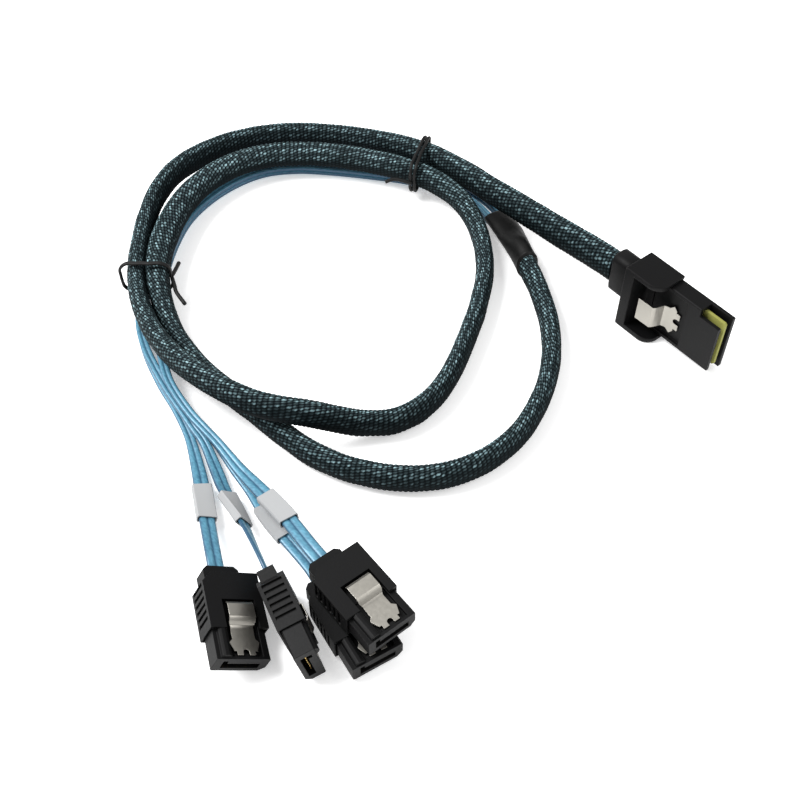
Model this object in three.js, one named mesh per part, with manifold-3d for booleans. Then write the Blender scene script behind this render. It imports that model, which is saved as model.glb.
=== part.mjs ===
// Breakout cable: one wide 36-way plug, a braided sleeve in two turns, a shrink tube
// and four flat ribbons that end in latched 7-way plugs. Millimetres, +Z up, lying on z = 0.
import * as THREE from "three";
import { mergeVertices } from "three/addons/utils/BufferGeometryUtils.js";
import Module from "manifold-3d";

const wasm = await Module();
wasm.setup();

// Driving dimensions shared by several pieces
const clearance = 0.3; // between pieces that touch
const springThickness = 0.3;
const cutMargin = 2; // how far a cutter reaches past the face it opens
const rad = THREE.MathUtils.degToRad;

// Wide plug, in its own frame: x across, y back from the mating end, z towards the latch
const widePlug = {
  noseWidth: 21.6,
  noseThickness: 6,
  noseLength: 21, // in front of the rear housing
  noseWall: 1.4,
  plateSetback: 1.1, // the latch-side plate stops short of the other one
  sideOpening: 5.5, // side walls are cut away in front, so the card's edge shows
  cardWidth: 18.2,
  cardThickness: 1,
  cardSetback: 0.7,
  recessLength: 7.5, // shallow step in the nose that the latch leaf lies in
  recessDepth: 1,
  housingWidth: 24.8,
  housingThickness: 11.7,
  housingLength: 14.4,
  guardThickness: 1.8,
  guardRadius: 4.6,
  pocketRear: 3.4, // solid wall behind the latch pocket
  socketDepth: 6, // how far the nose goes into the housing
  neckWidth: 13.4,
  neckThickness: 7.4,
  neckLength: 9.1,
  neckLift: 0.6,
  neckRadius: 3.2,
  latchOffset: -1.2,
  latchWidth: 8.8,
  latchPadWidth: 8.6,
  latchPadLength: 6,
  latchPadHeight: 4.3, // pad above the nose face
  latchTip: 15.5,
  latchBend: 21.4,
  latchBarb: 1.4,
  latchNotch: 2.2,
};

// Narrow plugs, in their own frame: x across, y back from the mating end, z towards the latch
const narrowPlug = {
  noseWidth: 14.9,
  noseThickness: 5.6,
  noseLength: 9, // in front of the boot
  noseChamfer: 1.6,
  ridgeRadius: 1.5,
  ridgeOffset: 2.6, // ridge centre from the nose's left side
  slotWidth: 10.4,
  slotHeight: 2,
  slotFloor: 1.3,
  slotDepth: 8,
  keyWidth: 1.3,
  keyHeight: 1.1,
  socketDepth: 2.5, // how far the nose goes into the boot
  bootWidth: 16.2,
  bootThickness: 7.2,
  bootLength: 16.5,
  bootBevel: 0.5,
  bootChamfer: 1.8,
  pocketLength: 8,
  pocketWidth: 9.2,
  latchCentre: 0.9,
  wellDepth: 1.2,
  wellWidth: 9,
  neckWidth: 10.2,
  neckThickness: 4.8,
  neckLength: 3,
  neckShift: -1.4,
  neckRadius: 1.6,
  ribCount: 6,
  ribPitch: 2,
  ribGroove: 1,
  ribDepth: 0.7,
  latchWidth: 6.4,
  latchPadWidth: 7.4,
  latchPadLength: 4.6,
  latchRise: 2.1, // pad above the leaf
  latchTip: 1.2,
  latchBend: 9.4,
  latchBarb: 1,
  latchNotch: 1.7,
  contactCount: 7,
  contactPitch: 1.27,
  contactWidth: 0.6,
  contactThickness: 0.3,
};

const braidHeight = 10.4;
const braidThickness = 6.4;
const shrinkWall = 0.5;
const ribbonWidth = 4.6;
const ribbonThickness = 1.3;
const labelLength = 13;
const labelWall = 0.3;
const labelFromEnd = [20, 21, 17.5, 18]; // along each ribbon, from its plug to the label
const tieThickness = 0.7;
const tieWidth = 1.8;

const widePlugPlace = { at: [102.6, 13.5, 12.4], yaw: 38.5, roll: -90 };
const narrowPlugPlaces = [
  { at: [-41.7, -94, 4.6], yaw: 15.8, roll: 28.8 },
  { at: [-25.1, -95.8, 8.1], yaw: 25.5, roll: 80 },
  { at: [-1.9, -87.8, 9.7], yaw: 38.3, roll: 0 },
  { at: [-5.6, -91, 0.8], yaw: 31, roll: 0 },
];

// The sleeve's centreline, from the wide plug's neck round to the shrink tube
const sleeveRoute = [
  [71.2, 46.0, 12.4], [66, 52.4, 12.4], [59, 60.4, 12.4], [51, 68.5, 12.4], [42, 77.5, 12.4],
  [32.5, 87, 12.3], [23, 97.5, 11.8], [13, 107.8, 10.4], [2, 116.2, 8.6], [-11, 123.5, 6.4],
  [-25, 127.8, 5.4], [-38.5, 129, 5.3], [-52, 127.5, 5.3], [-64.5, 122.6, 5.6], [-75, 114, 6.6],
  [-82.5, 103, 8], [-87, 90, 8.8], [-88.8, 76, 9], [-89, 62.5, 9.3], [-88.2, 49.5, 9.6],
  [-85.8, 37, 9.6], [-81.2, 25, 10.4], [-75.2, 14, 12], [-68, 4.5, 13.8], [-60.5, -3, 15.2],
  [-52, -9.5, 16], [-43.5, -14.5, 16.5], [-35.5, -17, 16.3], [-28, -17, 14.4], [-20.5, -16, 10.8],
  [-11.5, -14.8, 7], [-1, -12.6, 5.5], [8, -6.2, 5.3], [15, 4.5, 5.3], [21, 20, 5.3],
  [25.8, 36, 5.3], [28.8, 52, 5.3], [28.4, 67.5, 5.8], [25.2, 80, 7], [20.2, 88.4, 8.4],
  [12.5, 95.6, 9.4], [2, 102, 9.6], [-11, 107.8, 9], [-25, 111.5, 8.8], [-38.5, 112.5, 8.8],
  [-51.5, 110.5, 8.8], [-62.5, 104.8, 8.8], [-71.5, 95.5, 8.8], [-77.5, 83.5, 8.9], [-80.6, 70, 9.2],
  [-81.8, 56, 9.4], [-80.2, 43, 9.4], [-76.2, 30.5, 8], [-70, 18.5, 6.2], [-62, 8, 5.4],
  [-52.5, -1.5, 5.3], [-43, -10, 5.3], [-34, -18.5, 5.3], [-24.5, -26, 5.3], [-13, -31.4, 5.3],
  [0, -34, 5.3], [13, -33, 5.3], [25, -27.6, 5.3], [36, -17, 5.3], [43.6, -3, 5.3],
  [47.8, 12, 5.3], [48.6, 28, 5.3], [46.6, 43, 5.3], [43.6, 55.2, 5.3],
];
const shrinkRoute = [[43.5, 55.6, 5.7], [41.4, 63.6, 5.4], [38.6, 73.6, 4.4], [35, 84, 3]];

// Two layers of two ribbons run under the sleeve's turns; these points are the middle of that flat stack
const ribbonStackRoute = [
  [34.6, 85, 1.6], [30.6, 91.5, 1.6], [22.5, 97.2, 1.6], [12, 100.8, 1.6], [1.5, 103.4, 1.6],
  [-11, 106, 1.6], [-25, 109.2, 1.6], [-38.5, 110.2, 1.6], [-51, 108, 1.6], [-61.4, 102, 1.6],
  [-70, 93.2, 1.6], [-76.8, 82.4, 1.6], [-80.6, 70.4, 1.6], [-82.6, 58, 1.6], [-83.6, 46, 1.6],
  [-83.6, 34, 1.6], [-82.2, 23, 1.6],
];
// Where each ribbon goes on its own, up to the last point before its plug
const ribbonTails = [
  [[-80, 12, 0.8], [-74.2, 1, 0.8], [-69.4, -7.6, 0.8], [-65.4, -16, 0.8], [-62.2, -24.2, 1.4], [-58.9, -34.6, 2.6], [-54.6, -47.4, 4]],
  [[-79, 13.4, 2.5], [-73.6, 5.4, 2.6], [-67.8, -3.4, 2.6], [-62.2, -12.4, 2.6], [-56, -24.6, 2.8], [-50.8, -36.2, 3.4], [-44.6, -48.2, 5.4]],
  [[-77.4, 19.5, 4.05], [-74.4, 14.6, 4.2], [-70.4, 7.4, 4.3], [-62.6, -6.8, 4.3], [-55.8, -16.7, 4.4], [-48.6, -25.3, 5], [-39.9, -38.4, 6.8], [-31.8, -49.8, 9]],
  [[-75.6, 14.3, 0.8], [-69.8, 3.3, 0.8], [-63.2, -8.2, 0.8], [-56.5, -18.6, 0.8], [-49.8, -26.8, 0.8], [-43.7, -35.6, 1], [-36.5, -45.6, 1.8]],
];

// Ties: an upright band round both turns of the sleeve, then its loose wire ends
const ties = {
  top: {
    at: [7.4, 105.6, 9.6], yaw: 73.7, reach: 10.6,
    ends: [[[4.3, 94.8, 9], [2, 95.4, 9.5], [-2.2, 96.4, 9.7], [-5.4, 95.8, 9]]],
  },
  left: {
    at: [-84.5, 45.6, 9.6], yaw: 2, reach: 8.3,
    ends: [
      [[-76, 45.6, 9], [-74.6, 41.5, 9.4], [-73.6, 38.4, 9.6], [-70.2, 33.4, 9]],
      [[-76, 45.6, 10], [-75.4, 48, 9.8], [-74.7, 53, 9]],
    ],
  },
};
const tieHalfHeight = 5.9;
const tieCorner = 3.4;
const tieWire = 0.9;

// Materials, one for each kind of stuff
function finish(color, roughness, metalness) {
  return new THREE.MeshStandardMaterial({ color, roughness, metalness });
}
const blackPlastic = finish(0x17181a, 0.55, 0);
const blackBoot = finish(0x1c1d1f, 0.7, 0);
const nickel = finish(0xc8c3b9, 0.3, 1);
const gold = finish(0xd8b45c, 0.3, 1);
const cardGreen = finish(0xc8c878, 0.5, 0);
const sleeveBraid = finish(0x15242b, 0.6, 0);
const shrinkBlack = finish(0x141414, 0.75, 0);
const ribbonBlue = finish(0x6fb7dc, 0.3, 0.3);
const labelWhite = finish(0xd8dadc, 0.6, 0);
const tieBlack = finish(0x161718, 0.6, 0);

// Solids
function toSolid(geometry) {
  const bare = geometry.clone();
  bare.deleteAttribute("normal");
  bare.deleteAttribute("uv");
  const merged = mergeVertices(bare, 1e-4);
  return new wasm.Manifold(
    new wasm.Mesh({
      numProp: 3,
      vertProperties: merged.attributes.position.array,
      triVerts: new Uint32Array(merged.index.array),
    }),
  );
}

function toGeometry(solid) {
  const mesh = solid.getMesh();
  return new THREE.BufferGeometry()
    .setAttribute("position", new THREE.BufferAttribute(mesh.vertProperties, 3))
    .setIndex(new THREE.BufferAttribute(mesh.triVerts, 1));
}

function joined(first, ...others) {
  return others.reduce((sum, next) => sum.add(next), first);
}

function without(first, ...cutters) {
  return cutters.reduce((rest, cutter) => rest.subtract(cutter), first);
}

// A box by its lowest and highest corner
function block(x0, x1, y0, y1, z0, z1) {
  const geometry = new THREE.BoxGeometry(x1 - x0, y1 - y0, z1 - z0);
  geometry.translate((x0 + x1) / 2, (y0 + y1) / 2, (z0 + z1) / 2);
  return toSolid(geometry);
}

// Profiles drawn in one plane and extruded along the third axis
function alongX(shape, x0, x1) {
  const geometry = new THREE.ExtrudeGeometry(shape, { depth: x1 - x0, bevelEnabled: false });
  const basis = new THREE.Matrix4().makeBasis(
    new THREE.Vector3(0, 1, 0),
    new THREE.Vector3(0, 0, 1),
    new THREE.Vector3(1, 0, 0),
  );
  geometry.applyMatrix4(basis);
  geometry.translate(x0, 0, 0);
  return toSolid(geometry);
}

function alongY(shape, y0, y1, curveSegments = 2) {
  const geometry = new THREE.ExtrudeGeometry(shape, { depth: y1 - y0, bevelEnabled: false, curveSegments });
  geometry.rotateX(Math.PI / 2);
  geometry.translate(0, y1, 0);
  return toSolid(geometry);
}

function alongZ(shape, z0, z1, bevel = 0) {
  const geometry = new THREE.ExtrudeGeometry(shape, {
    depth: z1 - z0 - 2 * bevel,
    bevelEnabled: bevel > 0,
    bevelThickness: bevel,
    bevelSize: bevel,
    bevelOffset: -bevel,
    bevelSegments: 1,
    curveSegments: 3,
  });
  geometry.translate(0, 0, z0 + bevel);
  return toSolid(geometry);
}

function polygon(points) {
  return new THREE.Shape(points.map(([x, y]) => new THREE.Vector2(x, y)));
}

function roundedRect(x0, x1, y0, y1, r) {
  const shape = new THREE.Shape();
  shape.moveTo(x0 + r, y0);
  shape.lineTo(x1 - r, y0);
  shape.absarc(x1 - r, y0 + r, r, -Math.PI / 2, 0, false);
  shape.lineTo(x1, y1 - r);
  shape.absarc(x1 - r, y1 - r, r, 0, Math.PI / 2, false);
  shape.lineTo(x0 + r, y1);
  shape.absarc(x0 + r, y1 - r, r, Math.PI / 2, Math.PI, false);
  shape.lineTo(x0, y0 + r);
  shape.absarc(x0 + r, y0 + r, r, Math.PI, 1.5 * Math.PI, false);
  return shape;
}

function ellipse(width, height) {
  return new THREE.Shape().absellipse(0, 0, width / 2, height / 2, 0, 2 * Math.PI, false);
}

// A strip of sheet metal: its centreline in the y-z plane, given its thickness
function sheetStrip(points, thickness) {
  const line = points.map(([y, z]) => new THREE.Vector2(y, z));
  const sides = [1, -1].map((side) =>
    line.map((point, i) => {
      const before = line[Math.max(i - 1, 0)];
      const after = line[Math.min(i + 1, line.length - 1)];
      const along = after.clone().sub(before).normalize();
      return new THREE.Vector2(-along.y, along.x).multiplyScalar((side * thickness) / 2).add(point);
    }),
  );
  return new THREE.Shape([...sides[1], ...sides[0].reverse()]);
}

// A section carried along a curve and kept upright: its x runs level, its y runs up
function sweep(section, curve, steps, roll = () => 0, scale = () => [1, 1], curveSegments = 5) {
  const geometry = new THREE.ExtrudeGeometry(section, { depth: 1, steps, bevelEnabled: false, curveSegments });
  const position = geometry.getAttribute("position");
  const up = new THREE.Vector3(0, 0, 1);
  for (let i = 0; i < position.count; i++) {
    const t = THREE.MathUtils.clamp(position.getZ(i), 0, 1);
    const along = curve.getTangentAt(t);
    const level = new THREE.Vector3().crossVectors(along, up).normalize();
    const rise = new THREE.Vector3().crossVectors(level, along);
    const [widthScale, heightScale] = scale(t);
    const offset = new THREE.Vector3(position.getX(i) * widthScale, position.getY(i) * heightScale, 0);
    const turned = offset.applyAxisAngle(new THREE.Vector3(0, 0, 1), roll(t));
    const point = curve.getPointAt(t).addScaledVector(level, turned.x).addScaledVector(rise, turned.y);
    position.setXYZ(i, point.x, point.y, point.z);
  }
  // level, rise and the direction of travel are a left-handed set, so the faces are turned back round
  const index = [...Array(position.count).keys()];
  for (let i = 0; i < index.length; i += 3) [index[i + 1], index[i + 2]] = [index[i + 2], index[i + 1]];
  geometry.setIndex(index);
  geometry.computeVertexNormals();
  return geometry;
}

function curveThrough(points) {
  const curve = new THREE.CatmullRomCurve3(points.map((p) => new THREE.Vector3(...p)), false, "centripetal");
  curve.arcLengthDivisions = 1200;
  return curve;
}

function named(name, geometry, material) {
  const mesh = new THREE.Mesh(geometry, material);
  mesh.name = name;
  return mesh;
}

function placed(group, { at, yaw, roll }) {
  group.position.set(...at);
  group.rotation.set(0, rad(roll), rad(yaw), "ZYX");
  return group;
}

// Wide plug: nose, card, rear housing, neck and latch
function wideNose() {
  const p = widePlug;
  const half = p.noseWidth / 2;
  const rear = p.noseLength + p.socketDepth;
  const inner = p.noseThickness - p.noseWall * 2;
  const body = alongY(roundedRect(-half, half, 0, p.noseThickness, 0.5), 0, rear);
  const mouth = block(
    -half + p.noseWall, half - p.noseWall, -cutMargin, rear - p.socketDepth, p.noseWall, p.noseWall + inner,
  );
  const openSides = block(-half - cutMargin, half + cutMargin, -cutMargin, p.sideOpening, p.noseWall, p.noseWall + inner);
  const setback = block(
    -half - cutMargin, half + cutMargin, -cutMargin, p.plateSetback, p.noseWall + inner / 2, p.noseThickness + cutMargin,
  );
  const recess = block(
    -half + p.noseWall, half - p.noseWall,
    p.noseLength - p.recessLength, rear + cutMargin,
    p.noseThickness - p.recessDepth, p.noseThickness + cutMargin,
  );
  return without(body, mouth, openSides, setback, recess);
}

function wideCard() {
  const p = widePlug;
  const half = p.cardWidth / 2;
  const middle = p.noseThickness / 2;
  const outline = polygon([
    [-half, p.cardSetback + 0.6], [-half + 0.6, p.cardSetback], [half - 0.6, p.cardSetback],
    [half, p.cardSetback + 0.6], [half, p.noseLength - clearance], [-half, p.noseLength - clearance],
  ]);
  return alongZ(outline, middle - p.cardThickness / 2, middle + p.cardThickness / 2);
}

// Side view of a guard: square behind, rounded at the front corner on the latch side
function guardShape(y0, y1, z0, z1, r) {
  const shape = new THREE.Shape();
  shape.moveTo(y0, z0);
  shape.lineTo(y1, z0);
  shape.lineTo(y1, z1);
  shape.lineTo(y0 + r, z1);
  shape.absarc(y0 + r, z1 - r, r, Math.PI / 2, Math.PI, false);
  shape.lineTo(y0, z0);
  return shape;
}

function wideHousing() {
  const p = widePlug;
  const half = p.housingWidth / 2;
  const front = p.noseLength;
  const back = front + p.housingLength;
  const shell = alongX(guardShape(front, back, 0, p.housingThickness, p.guardRadius), -half, half);
  const pocketHalf = half - p.guardThickness;
  const pocketFloor = p.noseThickness - p.recessDepth;
  const pocketBack = back - p.pocketRear;
  const pocketShape = polygon([
    [front - cutMargin, pocketFloor], [pocketBack - 2, pocketFloor], [pocketBack - 1.2, pocketFloor + 1],
    [pocketBack, p.housingThickness + cutMargin], [front - cutMargin, p.housingThickness + cutMargin],
  ]);
  const pocket = alongX(pocketShape, -pocketHalf, pocketHalf);
  const noseHalf = p.noseWidth / 2 + clearance;
  const socket = block(
    -noseHalf, noseHalf, front - cutMargin, front + p.socketDepth + clearance,
    -cutMargin, p.noseThickness + clearance,
  );
  return without(shell, pocket, socket);
}

function wideNeck() {
  const p = widePlug;
  const front = p.noseLength + p.housingLength + clearance;
  const half = p.neckWidth / 2;
  const top = p.neckLift + p.neckThickness;
  const sleeve = alongY(roundedRect(-half, half, p.neckLift, top, p.neckRadius), front, front + p.neckLength, 3);
  const flare = alongY(
    roundedRect(-half - 0.7, half + 0.7, p.neckLift - 0.5, top + 0.7, p.neckRadius), front, front + 2.6, 3,
  );
  return joined(sleeve, flare);
}

// Plan outline of a latch leaf: barbs at both sides, two prongs with a round notch between them
function latchOutline(centre, width, padWidth, tip, bend, end, barb, notch) {
  const half = width / 2;
  const padHalf = padWidth / 2;
  const prong = half * 0.78;
  const barbAt = tip + (bend - tip) * 0.45;
  const shape = new THREE.Shape();
  shape.moveTo(centre - prong, tip);
  shape.lineTo(centre - notch / 2, tip);
  shape.lineTo(centre - notch / 2, tip + notch / 2);
  shape.absarc(centre, tip + notch / 2, notch / 2, Math.PI, 0, true);
  shape.lineTo(centre + notch / 2, tip);
  shape.lineTo(centre + prong, tip);
  shape.lineTo(centre + prong, tip + notch * 0.7);
  shape.lineTo(centre + half, tip + notch * 0.7);
  shape.lineTo(centre + half + barb, barbAt);
  shape.lineTo(centre + half, barbAt + barb);
  shape.lineTo(centre + half, bend);
  shape.lineTo(centre + padHalf, bend + 0.8);
  shape.lineTo(centre + padHalf, end + cutMargin);
  shape.lineTo(centre - padHalf, end + cutMargin);
  shape.lineTo(centre - padHalf, bend + 0.8);
  shape.lineTo(centre - half, bend);
  shape.lineTo(centre - half, barbAt + barb);
  shape.lineTo(centre - half - barb, barbAt);
  shape.lineTo(centre - half, tip + notch * 0.7);
  shape.lineTo(centre - prong, tip + notch * 0.7);
  return shape;
}

function wideLatch() {
  const p = widePlug;
  const leaf = p.noseThickness - p.recessDepth + clearance + springThickness / 2;
  const pad = p.noseThickness + p.latchPadHeight;
  const end = p.latchBend + 1.4 + p.latchPadLength;
  const strip = sheetStrip(
    [
      [p.latchTip, leaf], [p.latchTip + 1.2, leaf], [p.latchBend - 1, leaf + 0.7], [p.latchBend, leaf + 1.2],
      [p.latchBend + 1, pad - 0.8], [p.latchBend + 1.6, pad], [end, pad + 0.2],
    ],
    springThickness,
  );
  const reach = p.latchPadWidth;
  const ribbon = alongX(strip, p.latchOffset - reach, p.latchOffset + reach);
  const outline = latchOutline(
    p.latchOffset, p.latchWidth, p.latchPadWidth, p.latchTip, p.latchBend, end, p.latchBarb, p.latchNotch,
  );
  return ribbon.intersect(alongZ(outline, -cutMargin, p.housingThickness + cutMargin));
}

function widePlugGroup() {
  const group = new THREE.Group();
  group.add(named("mini_sas_nose", toGeometry(wideNose()), blackPlastic));
  group.add(named("mini_sas_paddle_card", toGeometry(wideCard()), cardGreen));
  group.add(named("mini_sas_housing", toGeometry(wideHousing()), blackPlastic));
  group.add(named("mini_sas_neck", toGeometry(wideNeck()), blackBoot));
  group.add(named("mini_sas_latch", toGeometry(wideLatch()), nickel));
  return placed(group, widePlugPlace);
}

// Narrow plugs: nose, contacts, boot and latch
function narrowNoseSection() {
  const p = narrowPlug;
  const half = p.noseWidth / 2;
  return polygon([
    [-half, 0.4], [-half + 0.4, 0], [half - p.noseChamfer, 0], [half, p.noseChamfer],
    [half, p.noseThickness - 0.4], [half - 0.4, p.noseThickness], [-half, p.noseThickness],
  ]);
}

function narrowNose() {
  const p = narrowPlug;
  const half = p.noseWidth / 2;
  const slotHalf = p.slotWidth / 2;
  const rear = p.noseLength + p.socketDepth;
  const body = alongY(narrowNoseSection(), 0, rear);
  const ridgeCentre = -half + p.ridgeOffset;
  const ridgeShape = new THREE.Shape().absellipse(
    ridgeCentre, p.noseThickness, p.ridgeRadius, p.ridgeRadius * 0.8, 0, 2 * Math.PI, false,
  );
  const ridge = alongY(ridgeShape, 0.5, p.noseLength - clearance, 5);
  const slotShape = polygon([
    [-slotHalf, p.slotFloor], [slotHalf, p.slotFloor], [slotHalf, p.slotFloor + p.slotHeight],
    [-slotHalf + p.keyWidth, p.slotFloor + p.slotHeight],
    [-slotHalf + p.keyWidth, p.slotFloor + p.slotHeight + p.keyHeight],
    [-slotHalf, p.slotFloor + p.slotHeight + p.keyHeight],
  ]);
  const slot = alongY(slotShape, -cutMargin, p.slotDepth);
  const waferBay = block(
    -slotHalf, slotHalf, p.slotDepth - clearance, rear + cutMargin, p.slotFloor, p.slotFloor + p.slotHeight,
  );
  const well = block(
    p.latchCentre - p.wellWidth / 2, p.latchCentre + p.wellWidth / 2, 0.8, rear + cutMargin,
    p.noseThickness - p.wellDepth, p.noseThickness + cutMargin,
  );
  const seat = block(
    p.latchCentre - p.latchWidth / 2, p.latchCentre + p.latchWidth / 2, 0.6, p.latchTip + 0.8,
    p.noseThickness - p.wellDepth - clearance, latchLeafHeight() - springThickness / 2 - clearance,
  );
  return without(joined(body, ridge), slot, waferBay, well).add(seat);
}

function latchLeafHeight() {
  return narrowPlug.noseThickness - springThickness / 2;
}

// One insulating wafer that carries the seven spring contacts
function narrowContacts() {
  const p = narrowPlug;
  const rear = p.noseLength + p.socketDepth;
  const waferHalf = p.slotWidth / 2 - clearance;
  const low = p.slotFloor + clearance;
  const high = p.slotFloor + p.slotHeight - clearance;
  const wafer = block(-waferHalf, waferHalf, p.slotDepth, rear - clearance, low, high);
  const fingers = Array.from({ length: p.contactCount }, (_, i) => {
    const x = (i - (p.contactCount - 1) / 2) * p.contactPitch;
    const arm = sheetStrip(
      [[1.2, high - 0.45], [2, high - 0.15], [3.6, high - 0.55], [p.slotDepth + 0.4, high - 0.8]], p.contactThickness,
    );
    return alongX(arm, x - p.contactWidth / 2, x + p.contactWidth / 2);
  });
  return joined(wafer, ...fingers);
}

function bootOutline() {
  const p = narrowPlug;
  const half = p.bootWidth / 2;
  const front = p.noseLength;
  const back = front + p.bootLength;
  return polygon([
    [-half, front], [half, front], [half, back - 0.6], [half - 0.6, back],
    [-half + p.bootChamfer, back], [-half, back - p.bootChamfer],
  ]);
}

function bootGrooves() {
  const p = narrowPlug;
  const half = p.bootWidth / 2;
  const first = p.noseLength + 2.6;
  const grooves = [];
  for (let i = 0; i < p.ribCount; i++) {
    const y = first + i * p.ribPitch;
    for (const side of [-1, 1]) {
      const edge = side * (half - p.ribDepth);
      const outer = side * (half + cutMargin);
      grooves.push(
        block(Math.min(edge, outer), Math.max(edge, outer), y, y + p.ribGroove, -cutMargin, p.bootThickness),
      );
    }
  }
  return grooves;
}

function narrowBoot() {
  const p = narrowPlug;
  const front = p.noseLength;
  const back = front + p.bootLength;
  const under = (p.bootThickness - p.noseThickness) / 2;
  const top = p.noseThickness + under;
  const shell = alongZ(bootOutline(), -under, top, p.bootBevel);
  const neckLow = (p.noseThickness - p.neckThickness) / 2;
  const neck = alongZ(
    roundedRect(
      p.neckShift - p.neckWidth / 2, p.neckShift + p.neckWidth / 2,
      back - p.neckRadius * 2, back + p.neckLength, p.neckRadius,
    ),
    neckLow, neckLow + p.neckThickness, p.bootBevel,
  );
  const noseHalf = p.noseWidth / 2 + clearance;
  const socket = block(
    -noseHalf, noseHalf, front - cutMargin, front + p.socketDepth + clearance, -clearance, p.noseThickness + clearance,
  );
  const pocketHalf = p.pocketWidth / 2;
  const pocket = block(
    p.latchCentre - pocketHalf, p.latchCentre + pocketHalf, front - cutMargin, front + p.pocketLength,
    p.noseThickness - p.wellDepth, top + cutMargin,
  );
  return without(joined(shell, neck), socket, pocket, ...bootGrooves());
}

function narrowLatch() {
  const p = narrowPlug;
  const leaf = latchLeafHeight();
  const pad = leaf + p.latchRise;
  const end = p.latchBend + 2 + p.latchPadLength;
  const strip = sheetStrip(
    [
      [p.latchTip, leaf], [p.latchBend - 0.6, leaf], [p.latchBend + 0.4, leaf + 0.4], [p.latchBend + 1.2, pad - 0.5],
      [p.latchBend + 2, pad], [end - 0.8, pad], [end, pad - 0.6],
    ],
    springThickness,
  );
  const reach = p.latchPadWidth;
  const ribbon = alongX(strip, p.latchCentre - reach, p.latchCentre + reach);
  const outline = latchOutline(
    p.latchCentre, p.latchWidth, p.latchPadWidth, p.latchTip, p.latchBend, end, p.latchBarb, p.latchNotch,
  );
  return ribbon.intersect(alongZ(outline, -cutMargin, pad + cutMargin));
}

function narrowPlugGroup(place, number) {
  const group = new THREE.Group();
  group.add(named(`sata_${number}_nose`, toGeometry(narrowNose()), blackPlastic));
  group.add(named(`sata_${number}_contacts`, toGeometry(narrowContacts()), gold));
  group.add(named(`sata_${number}_boot`, toGeometry(narrowBoot()), blackBoot));
  group.add(named(`sata_${number}_latch`, toGeometry(narrowLatch()), nickel));
  return placed(group, place);
}

// Where a ribbon meets its plug's neck, and the level roll of the plug there
function ribbonEntry(place) {
  const p = narrowPlug;
  const anchor = placed(new THREE.Group(), place);
  anchor.updateMatrixWorld(true);
  const back = p.noseLength + p.bootLength + p.neckLength;
  const point = (y) => new THREE.Vector3(p.neckShift, y, p.noseThickness / 2).applyMatrix4(anchor.matrixWorld).toArray();
  return [point(back + 5), point(back + clearance)];
}

// Cable pieces
function sleeveMesh() {
  const curve = curveThrough(sleeveRoute);
  return named("braided_sleeve", sweep(ellipse(braidThickness, braidHeight), curve, 80), sleeveBraid);
}

function shrinkMesh() {
  const curve = curveThrough(shrinkRoute);
  const width = braidThickness + 2 * shrinkWall;
  const height = braidHeight + 2 * shrinkWall;
  const endWidth = ribbonWidth * 2 + clearance;
  const endHeight = 4.6;
  const scale = (t) => [
    THREE.MathUtils.lerp(1, endWidth / width, t), THREE.MathUtils.lerp(1, endHeight / height, t),
  ];
  return named("heat_shrink", sweep(ellipse(width, height), curve, 10, undefined, scale), shrinkBlack);
}

// Ribbons 1 and 2 run on the stack's outer side, 1 and 4 underneath
function ribbonCurve(number) {
  const level = curveThrough(ribbonStackRoute);
  const side = number <= 2 ? 1 : -1;
  const lane = (side * (ribbonWidth + clearance)) / 2;
  const layer = number === 1 || number === 4 ? -1 : 1;
  const lift = (layer * (ribbonThickness + clearance)) / 2;
  const stack = ribbonStackRoute.map((_, i) => {
    const t = i / (ribbonStackRoute.length - 1);
    const point = level.getPoint(t);
    const along = level.getTangent(t);
    return [point.x + along.y * lane, point.y - along.x * lane, point.z + lift];
  });
  return curveThrough([...stack, ...ribbonTails[number - 1], ...ribbonEntry(narrowPlugPlaces[number - 1])]);
}

function ribbonSection() {
  const [x, y] = [ribbonWidth / 2, ribbonThickness / 2];
  const edge = ribbonThickness * 0.3;
  return polygon([
    [-x, -y + edge], [-x + edge, -y], [x - edge, -y], [x, -y + edge],
    [x, y - edge], [x - edge, y], [-x + edge, y], [-x, y - edge],
  ]);
}

// The ribbon turns from flat to the plug's own roll over its last stretch
function ribbonRoll(number) {
  const end = rad(narrowPlugPlaces[number - 1].roll);
  return (t) => end * THREE.MathUtils.smoothstep(t, 0.78, 1);
}

function ribbonMesh(number) {
  const geometry = sweep(ribbonSection(), ribbonCurve(number), 64, ribbonRoll(number));
  return named(`ribbon_${number}`, geometry, ribbonBlue);
}

// A paper sleeve round a short stretch of the ribbon
function labelMesh(number) {
  const curve = ribbonCurve(number);
  const length = curve.getLength();
  const far = 1 - (labelFromEnd[number - 1] + labelLength) / length;
  const near = 1 - labelFromEnd[number - 1] / length;
  const stations = 6;
  const stretch = curveThrough(
    Array.from({ length: stations + 1 }, (_, i) =>
      curve.getPointAt(THREE.MathUtils.lerp(far, near, i / stations)).toArray(),
    ),
  );
  const gap = clearance;
  const [x, y] = [ribbonWidth / 2 + gap, ribbonThickness / 2 + gap];
  const section = roundedRect(-x - labelWall, x + labelWall, -y - labelWall, y + labelWall, labelWall);
  section.holes.push(roundedRect(-x, x, -y, y, 0.1));
  const roll = (t) => ribbonRoll(number)(THREE.MathUtils.lerp(far, near, t));
  return named(`label_${number}`, sweep(section, stretch, stations, roll, undefined, 1), labelWhite);
}

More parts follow.
